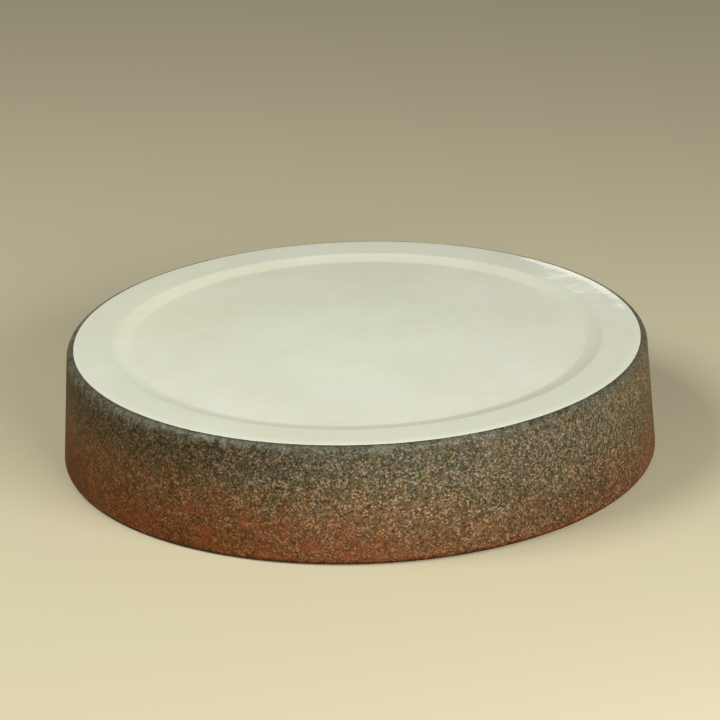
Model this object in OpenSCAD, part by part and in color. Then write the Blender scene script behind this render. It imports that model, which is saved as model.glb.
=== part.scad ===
// Round ikebana suiban: a wide, shallow stoneware flower basin with a broad foot ring.
// It is drawn turned over, standing on its lip: the lip is at z = 0 and the foot faces up.
// Every piece is turned about the z axis from a section drawn as radius and height.

/* [Vessel] */
// Outside diameter at the plane of the lip
mouth_d = 390; // [300:1:460]
// Height from the lip to the face of the foot
vessel_h = 78; // [60:1:110]
// Lean of the wall toward the foot, in degrees
wall_lean = 3.8; // [0:0.1:12]
// Thickness of the finished wall, square to its face
wall_t = 10; // [8:0.5:16]
// Radius of the outer and inner edges of the lip
lip_r = 3.5; // [1.5:0.5:4.5]
// Radius of the shoulder between the wall and the foot
shoulder_r = 5.5; // [2:0.5:8]

/* [Floor and foot] */
// Thickness of the finished floor inside the foot ring
floor_t = 10; // [7:0.5:14]
// Radius of the cove between the wall and the floor of the basin
cove_r = 15; // [8:1:25]
// Width of the flat face of the foot ring
foot_face_w = 25.2; // [15:0.2:50]
// Depth of the recess inside the foot ring
recess_depth = 2.4; // [1.2:0.1:4]
// Width of the slope from the foot ring down into the recess
slope_w = 8; // [6:0.5:16]
// Radius that softens the top of the slope
slope_edge_r = 12; // [6:1:20]
// Radius of the glaze pooled along the bottom of the slope
glaze_pool_r = 12; // [6:1:20]

/* [Coats] */
// Thickness of the slip, the wash and the glazes over the clay
coat_t = 0.7; // [0.4:0.1:1.2]
// Height of the iron wash up both sides of the lip
rim_wash_h = 4; // [3:0.5:10]
// Lap of the cream glaze onto the start of the shoulder
glaze_lap = 0.6; // [0.4:0.1:1.6]

/* [Hidden] */
$fn = 180;

// Reach of a cutting shape past the face that it cuts
overcut = 1;
// Extra radius of a rounding arc, so that it crosses both of its sides cleanly
arc_spread = 0.002;

// The underside, from the shoulder in to the recess
foot_face_r = outer_r(vessel_h) - shoulder_r / tan((90 + wall_lean) / 2);
base_glaze_r = foot_face_r + glaze_lap;
slope_top_r = foot_face_r - foot_face_w;
slope_foot_r = slope_top_r - slope_w;
slope_angle = atan(recess_depth / slope_w);
recess_z = vessel_h - recess_depth;

// The floor, from the finished basin out to the clay under the recess
basin_floor_z = recess_z - floor_t;
slab_face_z = basin_floor_z + coat_t;
slab_back_z = recess_z - coat_t;

clay = "#b39a7c";
coil_clay = "#a68c6e";
speckled_slip = "#4d3f37";
iron_wash = "#8a4f31";
cream_glaze = "#d6d5bf";
basin_cream = "#dcdac6";

// Radius of the outer face of the wall at a height, sunk square to the face by a depth
function outer_r(z, depth = 0) =
    mouth_d / 2 - z * tan(wall_lean) - depth / cos(wall_lean);

// Radius of the inner face of the wall at a height, sunk into the clay by a depth
function inner_r(z, depth = 0) = outer_r(z, wall_t - depth);

function unit(v) = v / norm(v);

// The sliver between a corner and the arc that rounds it. The far end of each side is
// given, and the sliver spills past both sides where a cut or a join needs that.
module rounding(corner, end_a, end_b, radius, spill = overcut) {
    along_a = unit(end_a - corner);
    along_b = unit(end_b - corner);
    half_angle = acos(along_a * along_b) / 2;
    reach = radius / tan(half_angle);
    center = corner + unit(along_a + along_b) * radius / sin(half_angle);
    kite = [corner, corner + along_a * reach, center, corner + along_b * reach];
    difference() {
        polygon([for (point = kite) center + (point - center) * (1 + spill / radius)]);
        translate(center) circle(r = radius + arc_spread);
    }
}

// A level band across the whole section
module band(low, high) {
    translate([0, low]) square([mouth_d, high - low]);
}

// The outside of the vessel as if it were solid, sunk by a depth below its finish
module outside(depth) {
    top_z = vessel_h - depth;
    bottom_z = top_z - recess_depth;
    slope_shift = depth * tan(slope_angle / 2);
    lip = [outer_r(depth, depth), depth];
    shoulder = [outer_r(top_z, depth), top_z];
    slope_top = [slope_top_r + slope_shift, top_z];
    slope_foot = [slope_foot_r + slope_shift, bottom_z];
    difference() {
        polygon([[0, depth], lip, shoulder, slope_top, slope_foot, [0, bottom_z]]);
        rounding(lip, [0, depth], shoulder, lip_r - depth);
        rounding(shoulder, lip, slope_top, shoulder_r - depth);
        rounding(slope_top, shoulder, slope_foot, slope_edge_r - depth);
    }
}

// The hollow of the basin with a square corner at its floor, widened into the clay by a depth
module square_hollow(depth) {
    floor_z = basin_floor_z + depth;
    floor_edge = [inner_r(floor_z, depth), floor_z];
    lip = [inner_r(depth, depth), depth];
    polygon([[0, -overcut], [inner_r(-overcut, depth), -overcut], floor_edge, [0, floor_z]]);
    rounding(lip, [outer_r(depth), depth], floor_edge, lip_r - depth);
}

// The cove that fills the corner of the hollow
module cove(depth, spill) {
    floor_z = basin_floor_z + depth;
    floor_edge = [inner_r(floor_z, depth), floor_z];
    rounding(floor_edge, [inner_r(depth, depth), depth], [0, floor_z], cove_r + depth, spill);
}

module hollow(depth) {
    difference() {
        square_hollow(depth);
        cove(depth, overcut);
    }
}

// The coat over the wall, the shoulder and the underside
module outer_coat() {
    difference() {
        outside(0);
        outside(coat_t);
    }
}

// The clay wall, butted on the rim of the slab and rounded at the lip
module side_wall() {
    color(clay) rotate_extrude() intersection() {
        difference() {
            outside(coat_t);
            square_hollow(coat_t);
        }
        band(0, slab_face_z);
    }
}

// The clay disc that closes the basin, as wide as the wall that it joins
module floor_slab() {
    color(clay) rotate_extrude() intersection() {
        outside(coat_t);
        band(slab_face_z, slab_back_z);
    }
}

// The broad, low ring laid on the back of the slab, sloped down to the recess
module foot_ring() {
    color(clay) rotate_extrude() intersection() {
        outside(coat_t);
        band(slab_back_z, vessel_h);
    }
}

// The coil pressed into the corner between the wall and the slab
module corner_coil() {
    color(coil_clay) rotate_extrude() cove(coat_t, 0);
}

// The speckled slip from the iron wash up over the shoulder to the foot
module outer_slip() {
    color(speckled_slip) rotate_extrude() difference() {
        outer_coat();
        band(0, rim_wash_h);
        square([base_glaze_r, vessel_h + overcut]);
    }
}

// The iron wash that wraps the lip
module rim_wash() {
    color(iron_wash) rotate_extrude() intersection() {
        difference() {
            outside(0);
            hollow(0);
            difference() {
                outside(coat_t);
                hollow(coat_t);
            }
        }
        band(0, rim_wash_h);
    }
}

// The cream glaze over the foot and the recess
module base_glaze() {
    color(cream_glaze) rotate_extrude() {
        intersection() {
            outer_coat();
            translate([0, slab_face_z]) square([base_glaze_r, vessel_h - slab_face_z]);
        }
        rounding(
            [slope_foot_r, recess_z], [slope_top_r, vessel_h], [0, recess_z],
            glaze_pool_r, coat_t / 2
        );
    }
}

// The cream glaze that lines the basin down to the iron wash
module basin_glaze() {
    color(basin_cream) rotate_extrude() difference() {
        hollow(coat_t);
        hollow(0);
        band(-overcut, rim_wash_h);
    }
}

side_wall();
floor_slab();
foot_ring();
corner_coil();
outer_slip();
rim_wash();
base_glaze();
basin_glaze();
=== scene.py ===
import math
from collections import namedtuple

import bpy
import numpy as np
from mathutils import Matrix, Vector, noise

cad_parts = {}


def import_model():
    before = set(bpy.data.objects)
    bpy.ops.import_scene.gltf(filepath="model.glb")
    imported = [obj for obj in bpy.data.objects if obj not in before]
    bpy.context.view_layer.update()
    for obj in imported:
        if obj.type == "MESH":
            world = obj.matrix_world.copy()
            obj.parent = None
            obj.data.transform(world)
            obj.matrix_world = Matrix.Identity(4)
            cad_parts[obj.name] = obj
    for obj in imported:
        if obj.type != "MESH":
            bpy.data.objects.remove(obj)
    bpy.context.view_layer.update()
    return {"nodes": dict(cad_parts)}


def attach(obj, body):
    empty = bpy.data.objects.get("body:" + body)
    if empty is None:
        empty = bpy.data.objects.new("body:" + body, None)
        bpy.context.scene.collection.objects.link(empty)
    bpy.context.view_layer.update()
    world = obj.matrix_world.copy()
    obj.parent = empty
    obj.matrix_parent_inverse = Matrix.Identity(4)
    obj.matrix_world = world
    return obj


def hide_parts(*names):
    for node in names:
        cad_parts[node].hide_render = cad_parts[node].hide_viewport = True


# Looks of the round ikebana suiban. It stands on its lip, turned over, as the CAD model does.
# Its four coats are turned shells built here in mesh code, and the clay under them keeps its
# CAD nodes. Lengths of the section are in millimetres, and materials work in metres.

MM = 0.001

# The section, as in the CAD model
MOUTH_R = 195.0
VESSEL_H = 78.0
LEAN = math.tan(math.radians(3.8))
LEAN_COS = math.cos(math.radians(3.8))
WALL_T = 10.0
LIP_R = 3.5
CAD_SHOULDER_R = 5.5
COVE_R = 15.0
RECESS_Z = 75.6
BASIN_FLOOR_Z = 65.6
SLOPE_TOP_R = 159.466
SLOPE_FOOT_R = 151.466
SLOPE_EDGE_R = 12.0
SLOPE_HALF_TAN = 0.147
GLAZE_POOL_R = 12.0
RIM_WASH_H = 4.0

# The glaze widens the slope a little past the clay's, and leaves its top edge tight
GLAZE_TOP_R = 160.8
GLAZE_TOP_EDGE_R = 8.0
GLAZE_FOOT_R = 149.8

# The shoulder falls away in two steps: a slight bevel on the foot, then the tight round
BEVEL_START_R = 180.8
BEVEL_TAN = math.tan(math.radians(3.0))
BEVEL_SOFT_R = 110.0
SHOULDER_R = 5.0

# The line where the cream glaze ends on the bevel, and how it wanders
GLAZE_EDGE_R = 185.6
GLAZE_EDGE_SWAY = 0.28
GLAZE_EDGE_T = 0.16
GLAZE_ROLL_W = 0.4
SLIP_RISE_W = 1.8

# The iron wash wanders at both of its ends, where the slip and the basin's glaze meet it
WASH_EDGE_SWAY = 0.7
WASH_RISE_W = 1.5
WASH_EDGE_T = 0.03
BASIN_EDGE_T = 0.18

# Depth of the coats' inner faces, just clear of the clay
COAT_DEPTH = 0.68

# Unevenness of the fired surface, always cut into the CAD surface and never built up on it
LEAST_SINK = 0.04
BROAD_SWAY, BROAD_SIZE = 0.11, 42.0
SMALL_SWAY, SMALL_SIZE = 0.035, 11.0
SMALL_SHIFT = 40.0

# Radii that tell the outside of the wall from its inside, near the lip
OUTSIDE_R = 192
INSIDE_R = 187

# Where rows set close for a rounding start and end
SLOPE_ROWS_R = (148, 163)
SHOULDER_ROWS_END_Z = 72.5
COVE_ROWS_START_Z = 50
COVE_ROWS_END_R = 166

# Distances of the closest rows from the end of a coat
CREAM_END_ROWS = np.array([0, 0.04, 0.1, 0.17, 0.25, 0.33, 0.42, 0.55, 0.8, 1.2, 1.8])
SLIP_END_ROWS = np.array([0, 0.12, 0.25, 0.4, 0.6, 0.85, 1.15, 1.5])
BASIN_END_ROWS = np.array([0, 0.05, 0.12, 0.2, 0.3, 0.4, 0.6, 0.9, 1.4])

# How far along the section the wander of each coat's end is felt
CREAM_END_REACH = 9.0
WASH_END_REACH = 6.0
LIP_END_REACH = 3.0

# Spacing of the section's points, on its roundings and along it
ARC_STEP = 0.04
PATH_STEP = 0.05

# Points round the widest rows, the least for narrow ones, and the radius below which they halve
FULL_TURN = 720
LEAST_TURN = 90
HALVING_R = 92.0

# Rows closer to the axis than this close in one point
AXIS_R = 0.5

# Edges bent by more than this stay sharp
SHARP_ANGLE = math.radians(50)


# Section and rows

def outer_r(z):
    """Radius of the wall's outer face at a height."""
    return MOUTH_R - z * LEAN


def inner_r(z):
    """Radius of the wall's inner face at a height."""
    return outer_r(z) - WALL_T / LEAN_COS


def arc_points(before, corner, after, radius):
    """The corner's rounding as closely spaced points, or the corner itself for no radius."""
    corner = np.array(corner, float)
    if radius == 0:
        return [corner]
    to_before = np.array(before, float) - corner
    to_after = np.array(after, float) - corner
    to_before /= np.linalg.norm(to_before)
    to_after /= np.linalg.norm(to_after)
    half = math.acos(to_before @ to_after) / 2
    middle = to_before + to_after
    center = corner + middle / np.linalg.norm(middle) * radius / math.sin(half)
    reach = radius / math.tan(half)
    first = corner + to_before * reach - center
    last = corner + to_after * reach - center
    start = math.atan2(first[1], first[0])
    turn = math.atan2(last[1], last[0]) - start
    turn = (turn + math.pi) % (2 * math.pi) - math.pi
    count = max(int(abs(turn) * radius / ARC_STEP), 8)
    angles = start + turn * np.linspace(0, 1, count)
    return [center + radius * np.array([math.cos(a), math.sin(a)]) for a in angles]


class Section:
    """A path of radius and height with its arc length and its normal toward the air."""

    def __init__(self, corners):
        """Each corner is (radius, height, radius of its rounding)."""
        line = [np.array(corners[0][:2], float)]
        for before, corner, after in zip(corners, corners[1:], corners[2:]):
            line += arc_points(before[:2], corner[:2], after[:2], corner[2])
        line.append(np.array(corners[-1][:2], float))
        line = np.array(line)
        far = np.concatenate([[0], np.cumsum(np.linalg.norm(np.diff(line, axis=0), axis=1))])
        self.length = far[-1]
        self.s = np.arange(0, self.length, PATH_STEP)
        self.r = np.interp(self.s, far, line[:, 0])
        self.z = np.interp(self.s, far, line[:, 1])
        along_r = np.gradient(self.r)
        along_z = np.gradient(self.z)
        size = np.hypot(along_r, along_z)
        self.normal_r = -along_z / size
        self.normal_z = along_r / size

    def at(self, s):
        """Radius, height and both parts of the normal at arc lengths s."""
        return [np.interp(s, self.s, v) for v in (self.r, self.z, self.normal_r, self.normal_z)]

    def find(self, test):
        """The first arc length whose radius and height pass a test."""
        return self.s[np.argmax(test(self.r, self.z))]


def finished_section():
    """The finished surface, from the middle of the recess over the lip to the basin's floor."""
    shoulder_z = (VESSEL_H - BEVEL_TAN * (MOUTH_R - BEVEL_START_R)) / (1 - BEVEL_TAN * LEAN)
    return Section([
        (0, RECESS_Z, 0),
        (GLAZE_FOOT_R, RECESS_Z, GLAZE_POOL_R),
        (GLAZE_TOP_R, VESSEL_H, GLAZE_TOP_EDGE_R),
        (BEVEL_START_R, VESSEL_H, BEVEL_SOFT_R),
        (outer_r(shoulder_z), shoulder_z, SHOULDER_R),
        (outer_r(0), 0, LIP_R),
        (inner_r(0), 0, LIP_R),
        (inner_r(BASIN_FLOOR_Z), BASIN_FLOOR_Z, COVE_R),
        (0, BASIN_FLOOR_Z, 0),
    ])


def clay_section():
    """The coats' inner faces: the CAD surface sunk by almost the thickness of a coat."""
    sink = COAT_DEPTH / LEAN_COS
    slope_shift = COAT_DEPTH * SLOPE_HALF_TAN
    top_z = VESSEL_H - COAT_DEPTH
    recess_z = RECESS_Z - COAT_DEPTH
    floor_z = BASIN_FLOOR_Z + COAT_DEPTH
    return Section([
        (0, recess_z, 0),
        (SLOPE_FOOT_R + slope_shift, recess_z, 0),
        (SLOPE_TOP_R + slope_shift, top_z, SLOPE_EDGE_R - COAT_DEPTH),
        (outer_r(top_z) - sink, top_z, CAD_SHOULDER_R - COAT_DEPTH),
        (outer_r(COAT_DEPTH) - sink, COAT_DEPTH, LIP_R - COAT_DEPTH),
        (inner_r(COAT_DEPTH) + sink, COAT_DEPTH, LIP_R - COAT_DEPTH),
        (inner_r(floor_z) + sink, floor_z, COVE_R + COAT_DEPTH),
        (0, floor_z, 0),
    ])


def spaced(start, end, step):
    """Even arc lengths from start to end, no further apart than step."""
    return np.linspace(start, end, max(int(math.ceil(abs(end - start) / step)), 1) + 1)


def joined(*runs):
    """Runs of arc lengths put in order without repeats."""
    return np.unique(np.round(np.concatenate(runs), 4))


def turn_count(radius):
    """Points round a row, halved where the row is short, so that faces stay well shaped."""
    count = FULL_TURN
    limit = HALVING_R
    while radius < limit and count > LEAST_TURN:
        count //= 2
        limit /= 2
    return count


# Noise and relief

def sway_round(lobes, seed):
    """A smooth closed wander round the vessel, about -1 to 1, with smaller lobes on it."""
    angles = np.arange(FULL_TURN) * (2 * math.pi / FULL_TURN)
    return np.array([
        noise.noise(Vector((lobes * math.cos(a), lobes * math.sin(a), seed)))
        + 0.5 * noise.noise(Vector((3 * lobes * math.cos(a), 3 * lobes * math.sin(a), seed + 9)))
        for a in angles
    ])


def unevenness(points):
    """How far each point of the fired surface is sunk, in millimetres."""
    sunk = np.empty(len(points))
    for i, p in enumerate(points):
        broad = noise.noise(Vector(p / BROAD_SIZE))
        small = noise.noise(Vector(p / SMALL_SIZE + SMALL_SHIFT))
        sunk[i] = LEAST_SINK + BROAD_SWAY * (0.5 + 0.5 * broad) + SMALL_SWAY * (0.5 + 0.5 * small)
    return sunk


def row_points(section, s, count, sink=None, sway=None):
    """One row round the vessel at arc length s, which may wander by sway along the section."""
    angles = np.arange(count) * (2 * math.pi / count)
    here = np.full(count, float(s)) if sway is None else s + sway
    r, z, normal_r, normal_z = section.at(here)
    points = np.stack([r * np.cos(angles), r * np.sin(angles), z], -1)
    if sink is None:
        return points
    depth = unevenness(points) + sink
    r = r - normal_r * depth
    z = z - normal_z * depth
    return np.stack([r * np.cos(angles), r * np.sin(angles), z], -1)


def roll_down(gap, width, thickness):
    """How far a coat sinks over its rounded end, by the gap left to that end."""
    t = np.clip(1 - gap / width, 0, 1)
    return thickness * (1 - np.sqrt(1 - t * t))


def rise_up(gap, width, thickness):
    """How far a coat sinks where another lies over its end, by the gap to that end."""
    t = np.clip(1 - gap / width, 0, 1)
    return thickness * t * t


def fading(s, edge, reach):
    """1 at an edge, falling smoothly to 0 at a distance of reach."""
    t = min(abs(s - edge) / reach, 1.0)
    return 1 - t * t * (3 - 2 * t)


def outer_rows(section, runs, sink_at, ends):
    """Rows of a finished surface. ends holds (arc length, wander, reach) of its wavy ends."""
    rows = []
    for s in runs:
        r = float(section.at(s)[0])
        if r < AXIS_R:
            point = row_points(section, s, 1, sink_at(s))
            point[0, :2] = 0
            rows.append(point)
            continue
        count = turn_count(r)
        sway = np.zeros(count)
        for end, wander, reach in ends:
            sway += wander[::FULL_TURN // count] * fading(s, end, reach)
        rows.append(row_points(section, s, count, sink_at(s), sway))
    return rows


def inner_rows(section, runs):
    """Rows of a coat's inner face, against the clay."""
    rows = []
    for s in runs:
        r, z = (float(value) for value in section.at(s)[:2])
        if r < AXIS_R:
            rows.append(np.array([[0.0, 0.0, z]]))
        else:
            rows.append(row_points(section, s, turn_count(r)))
    return rows


# Mesh of a turned shell

def bridge(faces, a, b):
    """Faces between two rows of vertex numbers, where b has as many, half as many or one."""
    n = len(a)
    if len(a) == len(b) == 1:
        return
    if len(a) < len(b):
        start = len(faces)
        bridge(faces, b, a)
        faces[start:] = [tuple(reversed(f)) for f in faces[start:]]
    elif len(b) == 1:
        faces += [(a[i], a[(i + 1) % n], b[0]) for i in range(n)]
    elif len(b) == n:
        faces += [(a[i], a[(i + 1) % n], b[(i + 1) % n], b[i]) for i in range(n)]
    else:
        for i in range(0, n, 2):
            low, high = b[i // 2], b[(i // 2 + 1) % len(b)]
            a0, a1, a2 = a[i], a[i + 1], a[(i + 2) % n]
            faces += [(a0, a1, low), (a1, high, low), (a1, a2, high)]


def shell(name, rows):
    """A closed mesh object from rows of points, whose last row joins its first."""
    numbers = []
    start = 0
    for row in rows:
        numbers.append(list(range(start, start + len(row))))
        start += len(row)
    faces = []
    for a, b in zip(numbers, numbers[1:] + numbers[:1]):
        bridge(faces, a, b)
    points = np.concatenate(rows) * MM
    mesh = bpy.data.meshes.new(name)
    mesh.from_pydata(points.tolist(), [], [tuple(reversed(f)) for f in faces])
    mesh.update()
    mesh.shade_smooth()
    mesh.set_sharp_from_angle(angle=SHARP_ANGLE)
    piece = bpy.data.objects.new(name, mesh)
    bpy.context.scene.collection.objects.link(piece)
    return piece


# The four coats

class Ends:
    """Arc lengths of the coats' ends on the finished section and on the clay section."""

    def __init__(self, finish, clay):
        self.cream = finish.find(lambda r, z: r > GLAZE_EDGE_R)
        self.wash_out = finish.find(lambda r, z: (r > OUTSIDE_R) & (z < RIM_WASH_H))
        self.wash_in = self.past_lip(finish, 0)
        self.clay_cream = clay.find(lambda r, z: r > GLAZE_EDGE_R)
        self.clay_out = clay.find(lambda r, z: (r > OUTSIDE_R) & (z < RIM_WASH_H))
        self.clay_in = self.past_lip(clay, COAT_DEPTH)

    @staticmethod
    def past_lip(section, lip_z):
        """Where a section is back at the height of the wash, on the basin's side."""
        lip = section.find(lambda r, z: z < lip_z + 0.01)
        return section.find(lambda r, z: (section.s > lip) & (r < INSIDE_R) & (z > RIM_WASH_H))


def foot_glaze(finish, clay, ends, cream_sway):
    """The cream glaze over the recess and the foot ring, rolled down at its end."""
    slope_start, slope_end = (finish.find(lambda r, z: r > radius) for radius in SLOPE_ROWS_R)
    runs = joined(
        [0],
        spaced(6, slope_start, step=2.4),
        spaced(slope_start, slope_end, step=0.7),
        spaced(slope_end, ends.cream - 2.4, step=1.1),
        ends.cream - CREAM_END_ROWS,
    )

    def sink_at(s):
        return roll_down(ends.cream - s, GLAZE_ROLL_W, GLAZE_EDGE_T)

    front = outer_rows(finish, runs, sink_at, [(ends.cream, cream_sway, CREAM_END_REACH)])
    slope_foot = clay.find(lambda r, z: r > SLOPE_FOOT_R + 0.1)
    back_runs = joined(
        [0],
        spaced(12, slope_foot, step=12),
        spaced(slope_foot, ends.clay_cream, step=3.0),
    )
    return shell("foot_glaze", front + inner_rows(clay, back_runs[::-1]))


def speckled_wall(finish, clay, ends, cream_sway, wash_sway):
    """The slip from under the cream glaze, over the shoulder and down to the iron wash."""
    shoulder_end = finish.find(lambda r, z: (r > 188) & (z < SHOULDER_ROWS_END_Z))
    near_end = ends.cream + SLIP_END_ROWS
    runs = joined(
        near_end,
        spaced(near_end[-1], shoulder_end, step=0.5),
        spaced(shoulder_end, ends.wash_out, step=1.0),
    )

    def sink_at(s):
        under_cream = rise_up(s - ends.cream, SLIP_RISE_W, GLAZE_EDGE_T)
        return under_cream + rise_up(ends.wash_out - s, WASH_RISE_W, WASH_EDGE_T)

    front = outer_rows(finish, runs, sink_at, [
        (ends.cream, cream_sway, CREAM_END_REACH),
        (ends.wash_out, wash_sway, WASH_END_REACH),
    ])
    back_runs = joined(
        spaced(ends.clay_cream, ends.clay_cream + 9, step=1.0),
        spaced(ends.clay_cream + 9, ends.clay_out, step=4.0),
    )
    return shell("speckled_slip", front + inner_rows(clay, back_runs[::-1]))


def lip_wash(finish, clay, ends, wash_sway, basin_sway):
    """The iron wash round the lip, under the end of the basin's glaze."""
    runs = spaced(ends.wash_out, ends.wash_in, step=0.4)

    def sink_at(s):
        return rise_up(ends.wash_in - s, WASH_RISE_W, BASIN_EDGE_T)

    front = outer_rows(finish, runs, sink_at, [
        (ends.wash_out, wash_sway, LIP_END_REACH),
        (ends.wash_in, basin_sway, LIP_END_REACH),
    ])
    back_runs = spaced(ends.clay_out, ends.clay_in, step=0.8)
    return shell("iron_wash", front + inner_rows(clay, back_runs[::-1]))


def cove_rows_span(section, start):
    """Arc lengths between which the cove needs close rows, past the one given."""
    cove_start = section.find(lambda r, z: (section.s > start) & (z > COVE_ROWS_START_Z))
    cove_end = section.find(lambda r, z: (section.s > cove_start) & (r < COVE_ROWS_END_R))
    return cove_start, cove_end


def basin_glaze(finish, clay, ends, basin_sway):
    """The cream glaze that lines the basin, rolled down where it ends on the iron wash."""
    cove_start, cove_end = cove_rows_span(finish, ends.wash_in)
    runs = joined(
        ends.wash_in + BASIN_END_ROWS,
        spaced(ends.wash_in + 2, cove_start, step=1.6),
        spaced(cove_start, cove_end, step=1.0),
        spaced(cove_end, finish.length - 6, step=2.6),
        [finish.s[-1]],
    )

    def sink_at(s):
        return roll_down(s - ends.wash_in, GLAZE_ROLL_W, BASIN_EDGE_T)

    front = outer_rows(finish, runs, sink_at, [(ends.wash_in, basin_sway, WASH_END_REACH)])
    clay_cove_start, clay_cove_end = cove_rows_span(clay, ends.clay_in)
    back_runs = joined(
        spaced(ends.clay_in, clay_cove_start, step=6),
        spaced(clay_cove_start, clay_cove_end, step=2),
        spaced(clay_cove_end, clay.length - 12, step=12),
        [clay.s[-1]],
    )
    return shell("basin_lining", front + inner_rows(clay, back_runs[::-1]))


# Material helpers

Cells = namedtuple("Cells", "gap tone tint")


def srgb(red, green, blue):
    """A colour given as the screen shows it, from 0 to 255, in the shader's linear values."""
    def linear(c):
        c /= 255
        return c / 12.92 if c <= 0.04045 else ((c + 0.055) / 1.055) ** 2.4
    return (linear(red), linear(green), linear(blue), 1.0)


class Nodes:
    """Short calls for building one material's node tree."""

    def __init__(self, name, roughness, specular):
        self.material = bpy.data.materials.new(name)
        self.material.use_nodes = True
        self.tree = self.material.node_tree
        self.shader = self.tree.nodes["Principled BSDF"]
        self.shader.inputs["Roughness"].default_value = roughness
        self.shader.inputs["Specular IOR Level"].default_value = specular
        self.shader.inputs["IOR"].default_value = 1.5
        self.place = self.tree.nodes.new("ShaderNodeTexCoord").outputs["Object"]

    def split_place(self):
        """The surface point's X, Y and Z, in metres."""
        parts = self.tree.nodes.new("ShaderNodeSeparateXYZ")
        self.tree.links.new(self.place, parts.inputs[0])
        return parts.outputs

    def plug(self, socket, value):
        """Links an output to a socket, or sets the socket's own value."""
        if isinstance(value, bpy.types.NodeSocket):
            self.tree.links.new(value, socket)
        else:
            socket.default_value = value

    def math(self, operation, a, b=0.0):
        """One math node on two values."""
        node = self.tree.nodes.new("ShaderNodeMath")
        node.operation = operation
        self.plug(node.inputs[0], a)
        self.plug(node.inputs[1], b)
        return node.outputs[0]

    def plus(self, a, b):
        return self.math("ADD", a, b)

    def minus(self, a, b):
        return self.math("SUBTRACT", a, b)

    def times(self, first, *others):
        """The product of two or more values."""
        for other in others:
            first = self.math("MULTIPLY", first, other)
        return first

    def drift(self, value, noise_value, amount):
        """A value moved up and down by noise, by up to half of amount each way."""
        return self.plus(value, self.times(self.minus(noise_value, 0.5), amount))

    def step(self, value, low, high):
        """0 at low, 1 at high and smooth between. It falls where low is the larger one."""
        node = self.tree.nodes.new("ShaderNodeMapRange")
        node.interpolation_type = "SMOOTHSTEP"
        self.plug(node.inputs["Value"], value)
        self.plug(node.inputs["From Min"], low)
        self.plug(node.inputs["From Max"], high)
        return node.outputs["Result"]

    def near(self, value, center, outer, inner):
        """1 within inner of a center, falling smoothly to 0 at outer from it."""
        return self.step(self.math("ABSOLUTE", self.minus(value, center)), outer, inner)

    def moved_place(self, x, y, z):
        """The surface point, shifted so that one pattern doesn't repeat another."""
        mapping = self.tree.nodes.new("ShaderNodeMapping")
        mapping.inputs["Location"].default_value = (x, y, z)
        self.tree.links.new(self.place, mapping.inputs["Vector"])
        return mapping.outputs[0]

    def noise(self, size_mm, detail=2.0, rough=0.5, shift=0.0):
        """Noise from 0 to 1 whose blobs are about half of size_mm across."""
        where = self.moved_place(shift, shift * 0.7, -shift) if shift else self.place
        node = self.tree.nodes.new("ShaderNodeTexNoise")
        node.inputs["Scale"].default_value = 1 / (size_mm * MM)
        node.inputs["Detail"].default_value = detail
        node.inputs["Roughness"].default_value = rough
        self.tree.links.new(where, node.inputs["Vector"])
        return node.outputs["Fac"]

    def bent(self, where, size_mm, warp_mm):
        """A point pushed about by noise, so that cells round it have uneven outlines."""
        bend = self.tree.nodes.new("ShaderNodeTexNoise")
        bend.inputs["Scale"].default_value = 1 / (1.3 * size_mm * MM)
        bend.inputs["Detail"].default_value = 1.0
        self.tree.links.new(where, bend.inputs["Vector"])
        push = self.tree.nodes.new("ShaderNodeVectorMath")
        push.operation = "MULTIPLY_ADD"
        push.inputs[1].default_value = (2 * warp_mm * MM,) * 3
        self.tree.links.new(bend.outputs["Color"], push.inputs[0])
        self.tree.links.new(where, push.inputs[2])
        return push.outputs[0]

    def cells(self, size_mm, shift, warp_mm=0.0):
        """Scattered cells of about size_mm: the gap to a cell's middle and two random tones."""
        where = self.moved_place(shift, -shift, shift * 0.5)
        if warp_mm:
            where = self.bent(where, size_mm, warp_mm)
        node = self.tree.nodes.new("ShaderNodeTexVoronoi")
        node.inputs["Scale"].default_value = 1 / (size_mm * MM)
        self.tree.links.new(where, node.inputs["Vector"])
        split = self.tree.nodes.new("ShaderNodeSeparateColor")
        self.tree.links.new(node.outputs["Color"], split.inputs[0])
        return Cells(node.outputs["Distance"], split.outputs[0], split.outputs[1])

    def mix(self, blend_type, factor, a, b):
        """One mix node on two colours."""
        node = self.tree.nodes.new("ShaderNodeMix")
        node.data_type = "RGBA"
        node.blend_type = blend_type
        self.plug(node.inputs["Factor"], factor)
        self.plug(node.inputs["A"], a)
        self.plug(node.inputs["B"], b)
        return node.outputs["Result"]

    def blend(self, factor, a, b):
        """Colour a, turned into colour b as far as factor says."""
        return self.mix("MIX", factor, a, b)

    def multiply(self, factor, a, b):
        """Colour a, multiplied by colour b as far as factor says."""
        return self.mix("MULTIPLY", factor, a, b)

    def tinted(self, color, *tints):
        """A colour multiplied by each (factor, (red, green, blue)) in turn."""
        for factor, tint in tints:
            color = self.multiply(factor, color, (*tint, 1.0))
        return color

    def ramp(self, factor, stops):
        """A colour ramp from (place, colour) stops."""
        node = self.tree.nodes.new("ShaderNodeValToRGB")
        elements = node.color_ramp.elements
        for place, color in stops[2:]:
            elements.new(place)
        for element, (place, color) in zip(elements, stops):
            element.position = place
            element.color = color
        self.plug(node.inputs["Fac"], factor)
        return node.outputs["Color"]

    def bumps(self, *layers):
        """Bump nodes in a chain from (height, depth in millimetres) layers."""
        normal = None
        for height, depth in layers:
            node = self.tree.nodes.new("ShaderNodeBump")
            node.inputs["Distance"].default_value = depth * MM
            self.tree.links.new(height, node.inputs["Height"])
            if normal is not None:
                self.tree.links.new(normal, node.inputs["Normal"])
            normal = node.outputs["Normal"]
        self.tree.links.new(normal, self.shader.inputs["Normal"])
        return normal

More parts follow.
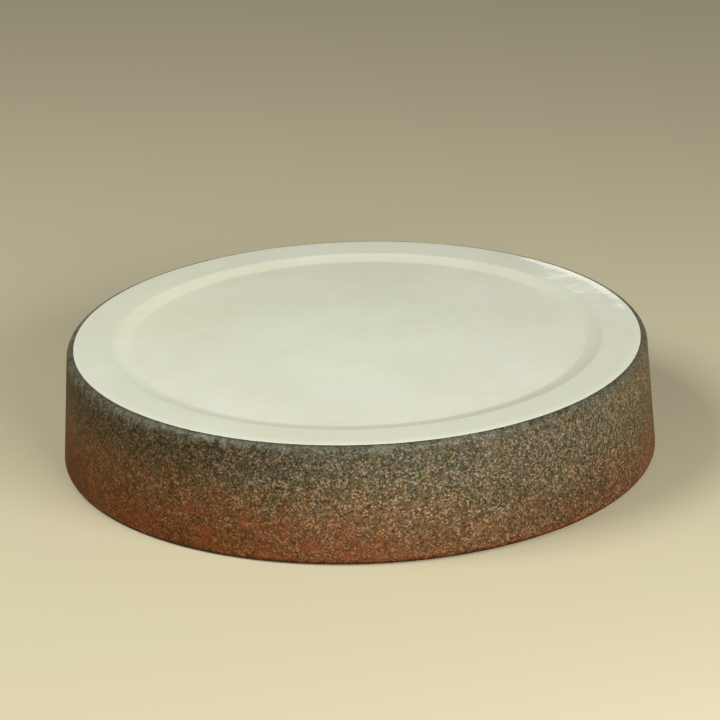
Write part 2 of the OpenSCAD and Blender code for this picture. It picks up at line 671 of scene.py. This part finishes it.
    def finish(self, color, roughness):
        """Links the colour and the roughness, and gives the material."""
        self.tree.links.new(color, self.shader.inputs["Base Color"])
        self.tree.links.new(roughness, self.shader.inputs["Roughness"])
        return self.material


# The speckled slip

# Middle tone of the slip from the lip to the shoulder, and how far its grains depart from it
SLIP_TONES = (
    (0.00, (97, 60, 31), 25),
    (0.25, (93, 66, 41), 31),
    (0.50, (88, 71, 49), 38),
    (0.75, (80, 71, 53), 39),
    (0.95, (76, 71, 55), 36),
)

# Green and blue depart less than red does, and blue never falls below a floor
GREEN_SPREAD = 0.87
BLUE_SPREAD = 0.80
LEAST_BLUE = 12

# Orange blotches low on the wall, larger grains, and the mottled grey of the shoulder, partly
# painted sheen
BLOTCH = srgb(126, 68, 34)
TAN_GRAIN = srgb(150, 113, 77)
BLACK_GRAIN = srgb(40, 35, 25)
MOTTLE_DARK, MOTTLE_PALE = srgb(66, 64, 51), srgb(84, 84, 69)
MOTTLE_LIGHT_GRAIN, MOTTLE_DARK_GRAIN = srgb(120, 114, 95), srgb(52, 50, 40)

# Tints at the two ends of each grain's lean, from grey to orange and from blue to yellow
GREY_LEAN, ORANGE_LEAN = (0.84, 0.99, 1.10, 1.0), (1.16, 1.0, 0.84, 1.0)
BLUE_CAST, YELLOW_CAST = (1.0, 0.97, 1.22, 1.0), (1.01, 1.02, 0.78, 1.0)


def slip_tones(shift):
    """Colour stops of the slip for grains that are darker or lighter than its middle tone."""
    stops = []
    for place, (red, green, blue), spread in SLIP_TONES:
        more_green = GREEN_SPREAD * shift * spread
        more_blue = BLUE_SPREAD * shift * spread
        color = srgb(red + shift * spread, green + more_green, max(blue + more_blue, LEAST_BLUE))
        stops.append((place, color))
    return stops


class SlipNodes(Nodes):
    """Nodes of the speckled slip, with the values that its steps share."""

    def __init__(self):
        super().__init__("speckled_slip", roughness=0.6, specular=0.07)
        self.x, self.y, z = self.split_place()

        # Height as a share of the vessel's
        self.height = self.math("DIVIDE", z, VESSEL_H * MM)

        # The side that is darker and redder in the photograph, read partly as the kiln's hottest
        # side and
        # partly as painted shade with a warm cast: about 1 at the left and -1 at the right
        self.hot_and_shaded_side = self.plus(self.times(self.x, -5.0), self.times(self.y, -1.0))
        # Painted shade along the far left of the wall
        self.painted_far_left_shade = self.step(self.x, -0.168, -0.192)

        # Grains of two sizes with their own random tones, in soft clusters
        self.coarse = self.cells(1.2, 0.11, warp_mm=0.35)
        self.fine = self.cells(0.7, 0.57, warp_mm=0.2)
        self.cluster = self.noise(6.0, rough=0.55, shift=0.53)
        grain = self.plus(self.times(self.coarse.tone, 0.56), self.times(self.fine.tone, 0.44))
        self.grain = self.drift(grain, self.cluster, 0.40)

        # Height with the unevenness of the grey band's lower end
        wander = self.drift(self.times(self.grain, 0.05), self.cluster, 0.14)
        self.uneven_height = self.plus(self.height, wander)
        self.level = self.tone_level()

    def tone_level(self):
        """Place on the tone scale, which runs from the lip's rust red to the shoulder's black.
        The red reaches higher on the darker left side, partly as painted warm shade."""
        level = self.minus(self.height, self.times(self.hot_and_shaded_side, 0.06))
        level = self.plus(level, self.times(self.step(self.hot_and_shaded_side, 0.45, -0.35), 0.17))
        level = self.drift(level, self.noise(75, shift=0.31), 0.34)
        return self.drift(level, self.noise(15, shift=0.66), 0.30)


def grain_tones(n):
    """The slip's colour by height, with darker and lighter grains."""
    dark = n.ramp(n.level, slip_tones(-1.0))
    middle = n.ramp(n.level, slip_tones(0.0))
    light = n.ramp(n.level, slip_tones(1.6))
    color = n.blend(n.step(n.grain, 0.14, 0.48), dark, middle)
    return n.blend(n.step(n.grain, 0.58, 0.92), color, light)


def grain_leans(n, color):
    """Leans each grain to orange or to grey, and to blue or to yellow, whatever its tone."""
    lean = n.drift(n.times(n.coarse.tint, 0.55), n.noise(6.0, rough=0.6, shift=0.77), 2.0)
    lean = n.blend(n.step(lean, -0.15, 0.7), GREY_LEAN, ORANGE_LEAN)
    cast = n.drift(n.times(n.fine.tint, 0.8), n.noise(5.0, rough=0.6, shift=0.35), 1.6)
    cast = n.blend(n.step(cast, -0.1, 0.9), BLUE_CAST, YELLOW_CAST)
    return n.multiply(1.0, n.multiply(0.7, color, lean), cast)


def tinted_sides(n, color):
    """Orange blotches, most of them low on the wall, and tints for parts of the wall fitted to the
    one
    photograph: painted shade darkening the left side and the far left, and painted light warming
    and lightening the right."""
    blotch = n.step(n.noise(9, rough=0.6, shift=0.17), 0.46, 0.70)
    low = n.step(n.level, 0.80, 0.20)
    often = n.plus(n.times(n.step(n.hot_and_shaded_side, -0.2, 0.5), 0.28), 0.16)
    color = n.blend(n.times(blotch, low, often), color, BLOTCH)
    return n.tinted(
        color,
        # Painted shade on the darker left side and the far left, painted light toward the right
        (n.step(n.hot_and_shaded_side, 0.25, 0.95), (0.90, 0.76, 0.56)),
        (n.step(n.x, 0.03, 0.11), (1.015, 0.98, 0.95)),
        (n.step(n.x, 0.150, 0.188), (1.13, 1.02, 0.90)),
        (n.painted_far_left_shade, (0.91, 0.85, 0.62)),
        (n.times(n.painted_far_left_shade, n.step(n.height, 0.55, 0.25)), (0.84, 0.77, 0.66)),
    )


def shaded_wall(n, color):
    """Painted light and shade on the wall: the upper wall is darkest on the darker left side and
    lightest opposite, with a painted light patch in front and a painted shade patch low down next
    to it. This too is fitted to the photograph."""
    upper = n.times(n.step(n.height, 0.50, 0.85), -0.30)
    # Painted light in front, and painted shade low down to the right of it
    front = n.times(n.near(n.x, 0.022, 0.085, 0.02), n.step(n.height, 0.10, 0.42))
    painted_low_side_shade = n.times(n.near(n.x, 0.142, 0.07, 0.01), n.step(n.height, 0.50, 0.25))
    shade = n.plus(n.times(n.hot_and_shaded_side, upper), 1.0)
    shade = n.plus(shade, n.times(front, 0.17))
    shade = n.minus(shade, n.times(painted_low_side_shade, 0.25))
    return n.multiply(1.0, color, shade)


def grey_shoulder(n, color):
    """The grey, mottled band over the shoulder, partly the slip's own colour and partly painted
    sheen.
    It ends unevenly below the shoulder, and reaches lower on the darker left side. Toward the back
    it is paler, a painted reflection fitted to the thin rim of it that the photograph shows there;
    its side tints are painted light and shade."""
    reach = n.times(n.step(n.hot_and_shaded_side, 0.45, 0.95), 0.08)
    shoulder = n.step(n.uneven_height, n.minus(0.935, reach), 1.02)
    mottle = n.blend(n.step(n.cluster, 0.36, 0.62), MOTTLE_DARK, MOTTLE_PALE)
    mottle = n.blend(n.times(n.step(n.grain, 0.50, 0.90), 0.75), mottle, MOTTLE_LIGHT_GRAIN)
    mottle = n.blend(n.times(n.step(n.grain, 0.45, 0.10), 0.5), mottle, MOTTLE_DARK_GRAIN)
    # Painted reflection toward the back, painted light toward the left, painted shade toward the
    # right and far left
    mottle = n.tinted(
        mottle,
        (n.step(n.y, -0.05, 0.07), (1.45, 1.45, 1.42)),
        (n.step(n.x, -0.06, -0.17), (1.08, 1.05, 1.03)),
        (n.step(n.x, 0.05, 0.18), (0.90, 0.86, 0.78)),
        (n.painted_far_left_shade, (0.90, 0.88, 0.82)),
    )
    return n.blend(n.times(shoulder, 0.92), color, mottle)


def larger_grains(n, color):
    """Scattered larger grains, tan or black, and more of them away from the darker left side."""
    large = n.cells(2.0, 0.4, warp_mm=0.9)
    shape = n.times(n.step(large.gap, 0.50, 0.30), n.step(n.hot_and_shaded_side, 0.4, -0.8))
    tan = n.times(n.step(large.tone, 0.86, 0.88), shape)
    black = n.times(n.step(large.tone, 0.20, 0.18), shape)
    color = n.blend(n.times(tan, 0.60), color, TAN_GRAIN)
    return n.blend(n.times(black, 0.55), color, BLACK_GRAIN)


def speckled_slip_material():
    """Iron slip: near black under the shoulder and rust red toward the lip, full of fine grains."""
    n = SlipNodes()
    color = grain_tones(n)
    color = grain_leans(n, color)
    color = tinted_sides(n, color)
    color = shaded_wall(n, color)
    color = grey_shoulder(n, color)
    color = larger_grains(n, color)

    # Painted shade: a darker line just under the edge of the cream glaze, fading out toward the
    # back
    under = n.times(n.step(n.height, 0.984, 0.996), n.step(n.y, 0.07, -0.02))
    color = n.tinted(color, (under, (0.66, 0.66, 0.64)))

    # A glassy film lies over the shoulder only
    glassy = n.step(n.uneven_height, 0.95, 1.0)
    n.plug(n.shader.inputs["Coat Weight"], n.times(glassy, 0.27))
    n.shader.inputs["Coat Roughness"].default_value = 0.42

    pores = n.noise(0.9, rough=0.6, shift=0.9)
    normal = n.bumps((n.cluster, 0.15), (n.grain, 0.10), (pores, 0.03))
    n.tree.links.new(normal, n.shader.inputs["Coat Normal"])
    return n.finish(color, n.plus(n.times(n.grain, 0.16), 0.5))


# The other materials

IRON_TONES = (
    (0.05, srgb(66, 34, 17)),
    (0.35, srgb(98, 54, 27)),
    (0.75, srgb(132, 80, 46)),
)
RECESS_TONES = (
    (0.25, srgb(208, 209, 182)),
    (0.50, srgb(213, 214, 190)),
    (0.75, srgb(218, 219, 197)),
)
RING_TONES = (
    (0.25, srgb(205, 206, 181)),
    (0.50, srgb(208, 209, 185)),
    (0.75, srgb(213, 214, 191)),
)
# Painted highlight colour for the glaze's outer edge
PAINTED_EDGE_HIGHLIGHT = srgb(213, 214, 192)
PINHOLE = srgb(150, 140, 112)
GROG = srgb(214, 196, 166)


def iron_wash_material():
    """Thin rust red wash, grained like the slip above it, and darker round the lip with painted
    contact shadow.
    """
    n = Nodes("iron_wash", roughness=0.6, specular=0.12)
    z = n.split_place()[2]
    grain = n.cells(1.2, 0.11, warp_mm=0.35).tone
    patches = n.noise(8, detail=3, rough=0.6, shift=0.2)
    color = n.ramp(n.drift(n.times(grain, 0.6), patches, 1.2), IRON_TONES)
    # Painted contact shadow: darker within a few millimetres of the lip
    color = n.tinted(color, (n.step(z, 0.0034, 0.0012), (0.46, 0.42, 0.42)))
    n.bumps((patches, 0.10), (grain, 0.05))
    return n.finish(color, n.plus(n.times(patches, 0.2), 0.5))


class GlazeNodes(Nodes):
    """Nodes of the cream glaze, with the values that its steps share."""

    def __init__(self, name):
        super().__init__(name, roughness=0.15, specular=0.5)
        self.x, self.y = self.split_place()[:2]
        squared = self.plus(self.times(self.x, self.x), self.times(self.y, self.y))
        self.radius = self.math("SQRT", squared)
        self.wisps = self.noise(14, shift=0.25)


def clouded_cream(n):
    """Slow clouds over the recess and the ring, with painted shade toward the back of the recess
    and the front of the ring, and a paler middle painted as a broad highlight.
    """
    clouds = n.noise(60, detail=3, rough=0.55, shift=0.6)
    # Painted shade: the recess darker toward the back, the ring darker toward the front
    painted_front_back_shade = n.times(n.y, 1.4)
    recess = n.ramp(n.minus(clouds, painted_front_back_shade), RECESS_TONES)
    # Painted highlight: a paler middle of the recess
    recess = n.tinted(recess, (n.step(n.radius, 0.105, 0.045), (1.045, 1.05, 1.055)))
    ring = n.ramp(n.plus(clouds, painted_front_back_shade), RING_TONES)
    on_ring = n.step(n.drift(n.radius, n.wisps, 0.004), 0.150, 0.160)
    return n.blend(on_ring, recess, ring)


def tinted_cream(n, color):
    """Yellower toward the back left, a painted reflection; darker and yellower on the slope and
    along its foot in front, painted shade; and paler on the slope and the ring at the near left,
    painted light and a painted reflection. The tints are fitted to the one photograph."""
    # Painted reflection: yellower toward the back left
    back_left = n.times(n.step(n.x, -0.02, -0.13), n.step(n.y, -0.04, 0.04))
    # Painted shade on the near slope and along its foot
    painted_near_slope_shade = n.times(n.step(n.radius, 0.134, 0.152), n.step(n.radius, 0.1625, 0.159),
                     n.step(n.y, 0.02, -0.05), n.step(n.x, -0.11, 0.02))
    near_left = n.times(n.step(n.x, -0.04, -0.11), n.step(n.y, 0.05, -0.03))
    # Painted light on the slope and painted reflection on the ring, at the near left
    painted_slope_light = n.times(n.step(n.radius, 0.147, 0.153), n.step(n.radius, 0.161, 0.157), near_left)
    on_ring = n.times(n.step(n.radius, 0.162, 0.172), near_left)
    return n.tinted(
        color,
        (back_left, (1.005, 1.005, 0.955)),
        (painted_near_slope_shade, (0.975, 0.972, 0.915)),
        (painted_slope_light, (1.05, 1.055, 1.05)),
        (on_ring, (1.02, 1.03, 1.045)),
    )


def cream_glaze_material(name, thin_tone):
    """Cream glaze, thinner in wisps, with a painted highlight as a paler band near its edge, slow
    ripples and a few pinholes.
    """
    n = GlazeNodes(name)
    color = tinted_cream(n, clouded_cream(n))
    color = n.blend(n.times(n.step(n.wisps, 0.5, 0.8), 0.22), color, thin_tone)
    # Painted highlight: a paler band near the glaze's outer edge
    edge = n.step(n.drift(n.radius, n.wisps, 0.003), 0.1805, 0.1832)
    color = n.blend(n.times(edge, 0.7), color, PAINTED_EDGE_HIGHLIGHT)
    pores = n.cells(7.0, 0.2)
    pinhole = n.times(n.step(pores.tone, 0.90, 0.91), n.step(pores.gap, 0.045, 0.02))
    color = n.blend(n.times(pinhole, 0.5), color, PINHOLE)
    slow_ripple = n.noise(17, detail=1, rough=0.4, shift=0.45)
    ripple = n.noise(6, detail=1, shift=0.65)
    n.bumps((slow_ripple, 0.16), (ripple, 0.045), (n.minus(1.0, pinhole), 0.05))
    gloss = n.noise(22, shift=0.8)
    return n.finish(color, n.plus(n.times(gloss, 0.08), 0.05))


def stoneware_material(name, pale, dark):
    """Open, sandy clay body with grog."""
    n = Nodes(name, roughness=0.85, specular=0.25)
    body = n.noise(24, detail=3, rough=0.6, shift=0.1)
    sand = n.noise(1.8, detail=3, rough=0.65)
    grains = n.cells(2.6, 0.7)
    grog = n.times(n.step(grains.tone, 0.80, 0.82), n.step(grains.gap, 0.42, 0.30))
    color = n.ramp(body, [(0.3, dark), (0.7, pale)])
    color = n.blend(n.times(grog, 0.6), color, GROG)
    color = n.blend(n.times(n.step(sand, 0.55, 0.75), 0.5), color, dark)
    n.bumps((body, 0.2), (sand, 0.12))
    return n.finish(color, n.plus(n.times(sand, 0.2), 0.74))


# Stage, lamps and camera

FLOOR_COLOR = srgb(200, 191, 158)
FLOOR_SIDE = 14.0

# Strength of the sky as light, and where the camera or gloss sees it
SKY_COLOR = (1.0, 0.99, 0.96, 1.0)
SKY_LIGHT = 0.12
SKY_SEEN = 0.50

# Every lamp is aimed at the middle of the vessel
LAMP_AIM = Vector((0, 0, 0.05))

# The photograph's viewpoint: 21 degrees above the vessel, slightly rolled, with a long lens
CAMERA_PLACE = Vector((0.0017347, -2.7516216, 1.1294038))
CAMERA_RIGHT = Vector((0.9995769, -0.01052322, -0.02711601))
CAMERA_UP = Vector((0.02908635, 0.36163919, 0.9318643))
CAMERA_LENS = 225.0


def floor():
    """A wide pale floor."""
    half = FLOOR_SIDE / 2
    corners = [(-half, -half, 0), (half, -half, 0), (half, half, 0), (-half, half, 0)]
    mesh = bpy.data.meshes.new("floor")
    mesh.from_pydata(corners, [], [(0, 1, 2, 3)])
    ground = bpy.data.objects.new("floor", mesh)
    bpy.context.scene.collection.objects.link(ground)
    material = bpy.data.materials.new("floor")
    material.use_nodes = True
    shader = material.node_tree.nodes["Principled BSDF"]
    shader.inputs["Base Color"].default_value = FLOOR_COLOR
    shader.inputs["Roughness"].default_value = 0.9
    shader.inputs["Specular IOR Level"].default_value = 0.2
    mesh.materials.append(material)


def lamp(name, azimuth, elevation, distance, width, height, power):
    """A softbox at an angle from the camera's side of the vessel, aimed at it."""
    turn = math.radians(azimuth)
    lift = math.radians(elevation)
    way = Vector((math.sin(turn) * math.cos(lift), -math.cos(turn) * math.cos(lift),
                  math.sin(lift)))
    data = bpy.data.lights.new(name, "AREA")
    data.shape = "RECTANGLE"
    data.size = width
    data.size_y = height
    data.energy = power
    light = bpy.data.objects.new(name, data)
    light.location = LAMP_AIM + way * distance
    light.rotation_euler = way.to_track_quat("Z", "Y").to_euler()
    bpy.context.scene.collection.objects.link(light)


def sky():
    """Even light from all round, and a pale background where the camera or gloss sees it."""
    world = bpy.data.worlds.new("studio")
    bpy.context.scene.world = world
    world.use_nodes = True
    nodes, links = world.node_tree.nodes, world.node_tree.links
    background = nodes["Background"]
    background.inputs["Color"].default_value = SKY_COLOR
    path = nodes.new("ShaderNodeLightPath")
    seen = path.outputs["Is Camera Ray"]
    for ray in ("Is Glossy Ray", "Is Transmission Ray"):
        either = nodes.new("ShaderNodeMath")
        either.operation = "MAXIMUM"
        links.new(seen, either.inputs[0])
        links.new(path.outputs[ray], either.inputs[1])
        seen = either.outputs[0]
    strength = nodes.new("ShaderNodeMapRange")
    strength.inputs["To Min"].default_value = SKY_LIGHT
    strength.inputs["To Max"].default_value = SKY_SEEN
    links.new(seen, strength.inputs["Value"])
    links.new(strength.outputs["Result"], background.inputs["Strength"])


def camera():
    """The camera at the photograph's viewpoint."""
    data = bpy.data.cameras.new("photo_view")
    data.sensor_fit = "HORIZONTAL"
    data.sensor_width = 36.0
    data.lens = CAMERA_LENS
    data.clip_start = 0.05
    data.clip_end = 100.0
    view = bpy.data.objects.new("photo_view", data)
    back = CAMERA_RIGHT.cross(CAMERA_UP)
    turn = Matrix((CAMERA_RIGHT, CAMERA_UP, back)).transposed().to_4x4()
    view.matrix_world = Matrix.Translation(CAMERA_PLACE) @ turn
    bpy.context.scene.collection.objects.link(view)
    bpy.context.scene.camera = view


def studio():
    """The camera, the floor, the sky and the lamps."""
    bpy.context.scene.view_settings.view_transform = "Standard"
    camera()
    floor()
    sky()
    lamp("key", azimuth=34, elevation=22, distance=1.6, width=1.3, height=0.6, power=30.7)
    lamp("fill", azimuth=-69, elevation=50, distance=1.6, width=0.9, height=0.7, power=18)
    lamp("window", azimuth=171.5, elevation=17.1, distance=1.92, width=0.13, height=0.15,
         power=0.09)


# The vessel

def dress(piece, node, material):
    """Puts a coat in its CAD node's place."""
    piece.data.materials.append(material)
    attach(piece, "root")
    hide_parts(node)


def coats():
    """The four coats, each in place of its CAD node."""
    finish = finished_section()
    clay = clay_section()
    ends = Ends(finish, clay)
    cream_sway = sway_round(2.2, 3.1) * GLAZE_EDGE_SWAY
    wash_sway = sway_round(3.5, 8.4) * WASH_EDGE_SWAY
    basin_sway = sway_round(3.0, 14.2) * WASH_EDGE_SWAY
    cream = cream_glaze_material("cream_glaze", srgb(204, 201, 170))
    basin_cream = cream_glaze_material("basin_cream_glaze", srgb(206, 202, 172))
    dress(foot_glaze(finish, clay, ends, cream_sway), "base_glaze", cream)
    dress(speckled_wall(finish, clay, ends, cream_sway, wash_sway),
          "outer_slip", speckled_slip_material())
    dress(lip_wash(finish, clay, ends, wash_sway, basin_sway),
          "rim_wash", iron_wash_material())
    dress(basin_glaze(finish, clay, ends, basin_sway),
          "basin_glaze", basin_cream)


def clay_body(frame):
    """Clay materials for the CAD nodes under the coats."""
    body = stoneware_material("stoneware", srgb(186, 162, 130), srgb(158, 132, 102))
    coil = stoneware_material("coil_stoneware", srgb(176, 150, 118), srgb(148, 122, 94))
    for node in ("side_wall", "floor_slab", "foot_ring"):
        frame["nodes"][node].material_slots[0].material = body
    frame["nodes"]["corner_coil"].material_slots[0].material = coil


def main():
    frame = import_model()
    studio()
    coats()
    clay_body(frame)


main()
